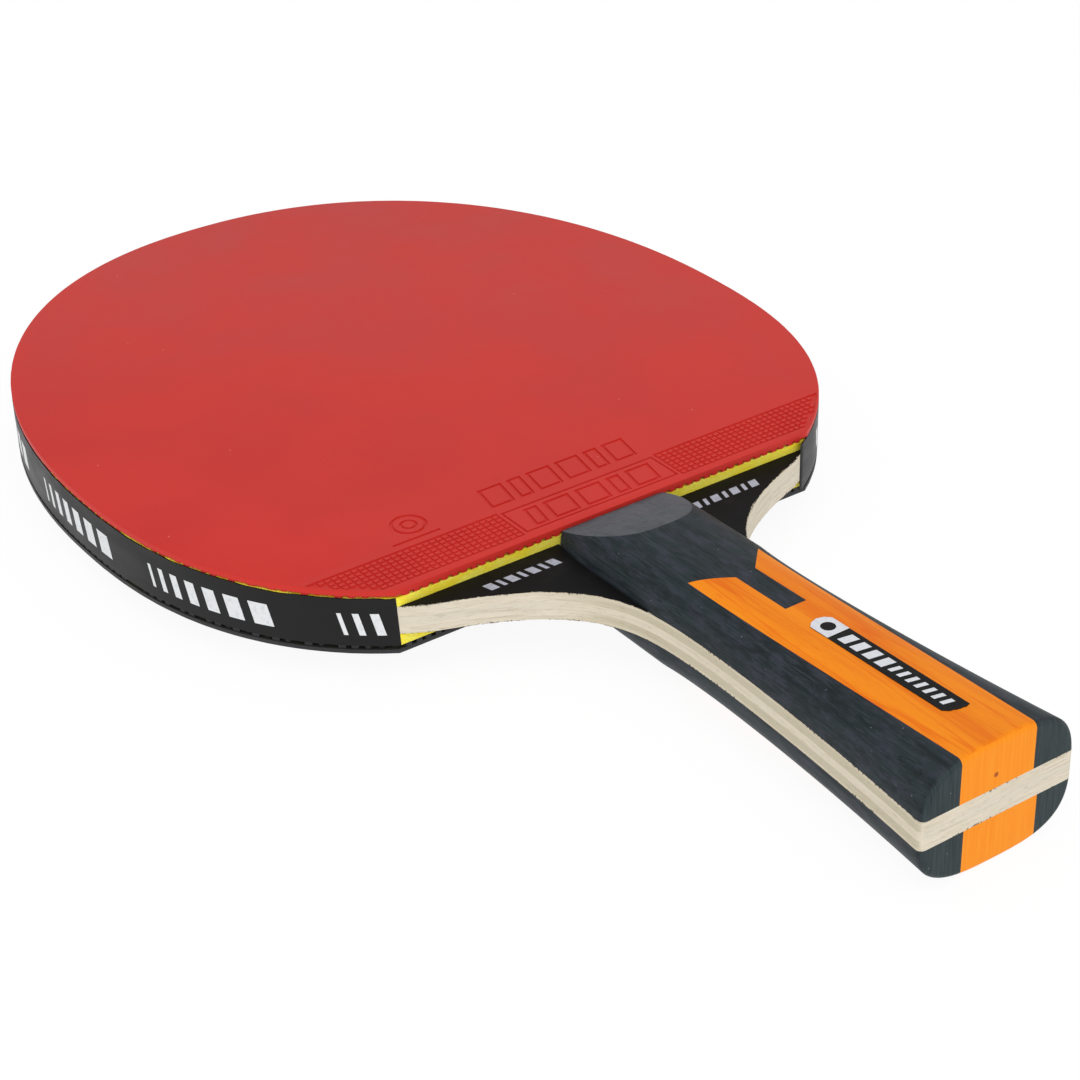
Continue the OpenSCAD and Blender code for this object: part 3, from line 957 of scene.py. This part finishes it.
def crown(depth):
    """Half-thickness of the handle."""
    return NECK_HALF_H + (BUTT_HALF_H - NECK_HALF_H) * (depth / HANDLE_LENGTH) ** CROWN_POWER


def neck_half(depth):
    """Half-width of the scales where they stand clear of the shoulders' sweep."""
    drawn_in = max(0.0, 1 - depth / NECK_TAPER_L) ** NECK_TAPER_POWER
    return NECK_HALF - (NECK_HALF - NECK_END_HALF) * drawn_in


def scale_half(depth):
    """Half-width of the scales, which follow the wood's sides beyond the shoulders."""
    wood = wood_half(max(depth, SHOULDER_Y))
    return min(wood, neck_half(depth)) if depth < FLARE_Y else wood


def scale_foot(depth):
    """Half-width of the scales right on the plywood."""
    lean = (FACE_Z / crown(depth)) ** GRIP_POWER
    return scale_half(depth) * (1 - lean) ** (1 / GRIP_POWER)


def strip_edge(depth, at_end):
    """Distance from the middle to an edge of the orange strip, which runs straight to its end."""
    return STRIP_X + (at_end - STRIP_X) * (depth - STRIP_TIP_Y) / (HANDLE_LENGTH - STRIP_TIP_Y)


def stations():
    """Cross-sections along the handle: (depth, half-width, half-thickness), rounded in at both ends."""
    out = []
    for i in range(START_STEPS):
        angle = math.pi / 2 * i / START_STEPS
        depth = NECK_GAP + NECK_R * (1 - math.cos(angle))
        out.append((depth, scale_half(depth) - NECK_R * (1 - math.sin(angle)), crown(depth)))
    start, end = NECK_GAP + NECK_R, HANDLE_LENGTH - BUTT_R
    for i in range(BODY_STEPS + 1):
        depth = start + (end - start) * i / BODY_STEPS
        out.append((depth, scale_half(depth), crown(depth)))
    for i in range(1, END_STEPS + 1):
        angle = math.pi / 2 * i / END_STEPS
        cut = BUTT_R * (1 - math.cos(angle))
        out.append((end + BUTT_R * math.sin(angle), scale_half(end) - cut, crown(end) - cut))
    return out


def crown_z(x, half, height):
    """Height of a scale's curved surface at x, in a cross-section of that half-width and height."""
    return height * (1 - (abs(x) / half) ** GRIP_POWER) ** (1 / GRIP_POWER)


def centre_section(depth, half, height, count=40):
    """Cross-section of the middle of a scale, between the orange strip's edges."""
    left, right = -strip_edge(depth, STRIP_LEFT), strip_edge(depth, STRIP_RIGHT)
    widths = [right + (left - right) * k / count for k in range(count + 1)]
    return ([(left, -depth, FACE_Z), (right, -depth, FACE_Z)]
            + [(x, -depth, crown_z(x, half, height)) for x in widths])


def flank_section(depth, half, height, side, count=26):
    """Cross-section of a dark side strip, from the orange strip's edge out to the plywood's edge."""
    inner = strip_edge(depth, STRIP_RIGHT if side > 0 else STRIP_LEFT)
    low = math.asin((FACE_Z / height) ** (GRIP_POWER / 2))
    high = math.acos((inner / half) ** (GRIP_POWER / 2))
    section = [(side * inner, -depth, FACE_Z)]
    for k in range(count + 1):
        x, z = superellipse(half, height, GRIP_POWER, low + (high - low) * k / count)
        section.append((side * x, -depth, z))
    return section


def loft(sections):
    """A closed solid through cross-sections that all have the same number of points."""
    bm = bmesh.new()
    rings = [[bm.verts.new(p) for p in section] for section in sections]
    for ring, following in zip(rings, rings[1:]):
        add_wall(bm, ring, following)
    bm.faces.new(rings[0])
    bm.faces.new(rings[-1][::-1])
    bmesh.ops.recalc_face_normals(bm, faces=bm.faces)
    return bm


def centre_body():
    """The middle of a scale, which the neck block and the orange strip share out."""
    return loft([centre_section(*s) for s in stations()])


def side_strip(side):
    """A dark side strip; side is 1 where x is positive and -1 on the other side."""
    bm = loft([flank_section(*s, side) for s in stations()])
    cut_bevel(bm)
    return bm


def cut_bevel(bm):
    """Slices off the sloping bevel beside the rubbers and closes the cut."""
    slope = (crown(BEVEL_L) - BEVEL_Z) / (BEVEL_L - NECK_GAP)
    geometry = bm.verts[:] + bm.edges[:] + bm.faces[:]
    cut = bmesh.ops.bisect_plane(bm, geom=geometry, plane_co=(0, -NECK_GAP, BEVEL_Z),
                                 plane_no=(0, slope, 1), clear_outer=True)
    rim = [e for e in cut["geom_cut"] if isinstance(e, bmesh.types.BMEdge)]
    for face in bmesh.ops.contextual_create(bm, geom=rim)["faces"]:
        face.material_index = 1


def with_solid(bm, solid, operation):
    """bm after an exact boolean with another solid."""
    objects = [add_object("cutting", mesh_from("cutting", source)) for source in (bm, solid)]
    modifier = objects[0].modifiers.new("cut", "BOOLEAN")
    modifier.operation = operation
    modifier.solver = "EXACT"
    modifier.object = objects[1]
    done = bmesh.new()
    done.from_object(objects[0], bpy.context.evaluated_depsgraph_get())
    for made in objects:
        mesh = made.data
        bpy.data.objects.remove(made)
        bpy.data.meshes.remove(mesh)
    return done


def neck_prism():
    """A tall prism over the dark neck block's plan: a leaning chevron with a square tongue."""
    def leaned(x, depth):
        return x, x * STRIP_TIP_LEAD / (2 * STRIP_X) - depth

    left, right, wide = TONGUE_X - TONGUE_HALF, TONGUE_X + TONGUE_HALF, STRIP_X + CUTTER_MARGIN
    loop = [(-wide, CUTTER_MARGIN), leaned(-wide, STRIP_TIP_Y), leaned(-STRIP_X, STRIP_TIP_Y),
            leaned(left, TONGUE_ROOT_Y), (left, -TONGUE_END_Y),
            (right, -TONGUE_END_Y), leaned(right, TONGUE_ROOT_Y),
            leaned(STRIP_X, STRIP_TIP_Y), leaned(wide, STRIP_TIP_Y), (wide, CUTTER_MARGIN)]
    bm = bmesh.new()
    stack(bm, [(loop, FACE_Z - CUTTER_MARGIN), (loop, BUTT_HALF_H + CUTTER_MARGIN)])
    bmesh.ops.recalc_face_normals(bm, faces=bm.faces)
    return bm


def make_scale(face_name, back):
    """The four strips of one face's scale; the back's is the front's turned over."""
    neck = with_solid(centre_body(), neck_prism(), "INTERSECT")
    cut_bevel(neck)
    strip = with_solid(centre_body(), neck_prism(), "DIFFERENCE")
    right_side = -1 if back else 1
    for node, bm, slot, materials in (
            ("neck_block_" + face_name, neck, "dark_wood", [DARK, DARK_CUT]),
            ("centre_strip_" + face_name, strip, "orange_wood", [ORANGE]),
            (f"side_strip_{face_name}_right", side_strip(right_side), "dark_wood", [DARK, DARK_CUT]),
            (f"side_strip_{face_name}_left", side_strip(-right_side), "dark_wood", [DARK, DARK_CUT])):
        if back:
            bmesh.ops.rotate(bm, verts=bm.verts, matrix=Matrix.Rotation(math.pi, 3, "Y"))
        make_piece(node, bm, slot, materials)


# --- badge -------------------------------------------------

BADGE_SKEW = 1.3
BADGE_ROUND = 0.7
BADGE_TEAR = 0.5
BADGE_END_STEPS = 24
BADGE_SIDE_DROP = 1.4
BADGE_BROW_X = 0.6 * BADGE_X
BADGE_BROW_DROP = 0.45
BADGE_HEAD_END = BADGE_Y - 5.7
BADGE_DISC_Y = BADGE_Y - 3.1
BADGE_DISC_R = 1.35
BADGE_BARS_START = BADGE_HEAD_END - 1.3
BADGE_LARGE_BAR = (1.9, 1.45)
BADGE_SMALL_BAR = (0.95, 1.1)
BADGE_BAR_GAP = 1.07
BADGE_BAR_LEAN = 0.5
BADGE_STEP = 0.6


def badge_outline():
    """The badge in plan: a pointed head, straight sides and a slanting, slightly torn end."""
    side, brow = BADGE_Y - BADGE_SIDE_DROP, BADGE_Y - BADGE_BROW_DROP
    outline = [(BADGE_X, side), (BADGE_BROW_X, brow), (0, BADGE_Y), (-BADGE_BROW_X, brow),
               (-BADGE_X, side)]
    for k in range(BADGE_END_STEPS + 1):
        part = k / BADGE_END_STEPS
        tear = abs(noise.noise(Vector((part * 5, 0, 3)))) + 0.5 * abs(noise.noise(Vector((part * 17, 0, 5))))
        corner = BADGE_ROUND * abs(2 * part - 1) ** 6
        outline.append((BADGE_X * (2 * part - 1),
                        BADGE_END + BADGE_SKEW * (1 - part) + corner + BADGE_TEAR * tear))
    return outline


def badge_bars():
    """Plain slanted bars down the badge's black strip, four large ones and seven small ones."""
    bars, y = [], BADGE_BARS_START
    for width, half in [BADGE_LARGE_BAR] * 4 + [BADGE_SMALL_BAR] * 7:
        bars.append([(-half, y - width), (half, y - width - BADGE_BAR_LEAN),
                     (half, y - BADGE_BAR_LEAN), (-half, y)])
        y -= width + BADGE_BAR_GAP
    return bars


def badge_faces():
    """The badge's points in plan and its (triangle, is pale) pairs, cut in rows to follow the crown."""
    outline = badge_outline()
    head = outline[:5] + [(-BADGE_X, BADGE_HEAD_END), (BADGE_X, BADGE_HEAD_END)]
    disc = ring_shape(0, BADGE_DISC_Y, BADGE_DISC_R, 28)
    points = []
    faces = [numbered(points, polygon) for polygon in [outline, head, disc] + badge_bars()]
    count = int((BADGE_Y - BADGE_END) / BADGE_STEP)
    rows = [BADGE_END + (BADGE_Y - BADGE_END) * k / count for k in range(1, count)]
    edges = [tuple(numbered(points, ((-BADGE_X, row), (BADGE_X, row)))) for row in rows]
    out, _, triangles, _, _, regions = delaunay_2d_cdt(points, edges, faces, 1, 1e-5)
    pale = [(1 in region and 2 not in region) or max(region, default=0) > 2 for region in regions]
    return out, [(t, p) for t, p, region in zip(triangles, pale, regions) if 0 in region]


def make_badge():
    """A printed badge on the crown: a pale pointed head, and a black strip with plain bars."""
    points, faces = badge_faces()
    low = [(p.x, p.y, crown_z(p.x, scale_half(-p.y), crown(-p.y))) for p in points]
    bm = thin_sheet([(x, y, z + FILM_T) for x, y, z in low], low, faces)
    make_piece("badge", bm, "badge", [BADGE_BLACK, BADGE_WHITE])


# --- stage -------------------------------------------------

CAMERA_AZIMUTH = -34.57
CAMERA_ELEVATION = 31.05
CAMERA_ROLL = -1.66
CAMERA_TARGET = (-11.13, 7.25, 0.0)
CAMERA_DISTANCE = 478.32
CAMERA_LENS = 86.33
WORLD_LIGHT = 0.72
FLOOR_GLOW = 0.93
FLOOR_HALF = 3.0
FLOOR_DROP = 0.0002
# Each softbox is (place, side, power), in metres and watts.
SOFTBOX_OVER = ((-0.5, -0.6, 1.3), 1.4, 6.2)
SOFTBOX_FRONT = ((-0.4, -0.95, 0.4), 0.7, 1.3)


def make_camera():
    """A camera on its target from that azimuth and elevation, and rolled a little."""
    azimuth, elevation, roll = (math.radians(v) for v in (CAMERA_AZIMUTH, CAMERA_ELEVATION, CAMERA_ROLL))
    back = Vector((math.sin(azimuth) * math.cos(elevation),
                   -math.cos(azimuth) * math.cos(elevation), math.sin(elevation)))
    right = back.cross(Vector((0, 0, 1))).normalized() * -1
    up = back.cross(right)
    turned_right = right * math.cos(roll) + up * math.sin(roll)
    turned_up = up * math.cos(roll) - right * math.sin(roll)
    camera = bpy.data.cameras.new("camera")
    camera.lens = CAMERA_LENS
    camera.sensor_width = 36
    camera.clip_start = 0.01
    holder = add_object("camera", camera)
    spot = at(*CAMERA_TARGET) + back * CAMERA_DISTANCE * MM
    turn = Matrix((turned_right, turned_up, back)).transposed().to_4x4()
    holder.matrix_world = Matrix.Translation(spot) @ turn
    bpy.context.scene.camera = holder


def make_floor():
    """A white light table: mostly its own light, so the paddle's shadow on it stays faint."""
    bm = bmesh.new()
    bmesh.ops.create_grid(bm, x_segments=2, y_segments=2, size=FLOOR_HALF)
    mesh = mesh_from("floor", bm)
    s = Shader("pale_floor", 0.9, 0.0)
    s.bsdf.inputs["Emission Color"].default_value = (1, 1, 1, 1)
    s.bsdf.inputs["Emission Strength"].default_value = FLOOR_GLOW
    shade = s.noise(s.stretched(400, 400, 400))
    mesh.materials.append(s.finish(s.mix(shade, tint(78, 78, 78), tint(82, 82, 82))))
    floor = add_object("floor", mesh)
    floor.location.z = -FLOOR_DROP


def make_light(name, place, size, power):
    """A square softbox that faces the paddle."""
    light = bpy.data.lights.new(name, "AREA")
    light.shape = "SQUARE"
    light.size = size
    light.energy = power
    holder = add_object(name, light)
    holder.location = place
    holder.rotation_euler = (Vector((0, 0, 0)) - Vector(place)).to_track_quat("-Z", "Y").to_euler()


def make_stage():
    """A white room's even light, two softboxes, the floor and the camera."""
    scene = bpy.context.scene
    world = bpy.data.worlds.new("studio")
    world.use_nodes = True
    world.node_tree.nodes["Background"].inputs["Color"].default_value = (1, 1, 1, 1)
    world.node_tree.nodes["Background"].inputs["Strength"].default_value = WORLD_LIGHT
    scene.world = world
    make_light("softbox_over", *SOFTBOX_OVER)
    make_light("softbox_front", *SOFTBOX_FRONT)
    scene.view_settings.view_transform = "Standard"
    make_floor()
    make_camera()


make_stage()
make_ply("core_ply", -CORE_Z, CORE_Z, CORE)
make_ply("inner_ply_front", CORE_Z, INNER_Z, INNER)
make_ply("inner_ply_back", -INNER_Z, -CORE_Z, INNER)
make_ply("face_ply_front", INNER_Z, FACE_Z, FACE)
make_ply("face_ply_back", -FACE_Z, -INNER_Z, FACE)
make_sponge("sponge_front", FRONT_SHEET_Z, False)
make_sponge("sponge_back", BACK_SHEET_Z, True)
make_topsheet("topsheet_front", RED, "red_rubber", FRONT_SHEET_Z, FRONT_TOP_Z, FRONT_SKIN_T, False)
make_topsheet("topsheet_back", BLACK, "black_rubber", BACK_SHEET_Z, BACK_TOP_Z, BACK_SKIN_T, True)
make_tape()
for back in (False, True):
    make_film("left", -1, back)
    make_film("right", 1, back)
make_scale("front", False)
make_scale("back", True)
make_badge()
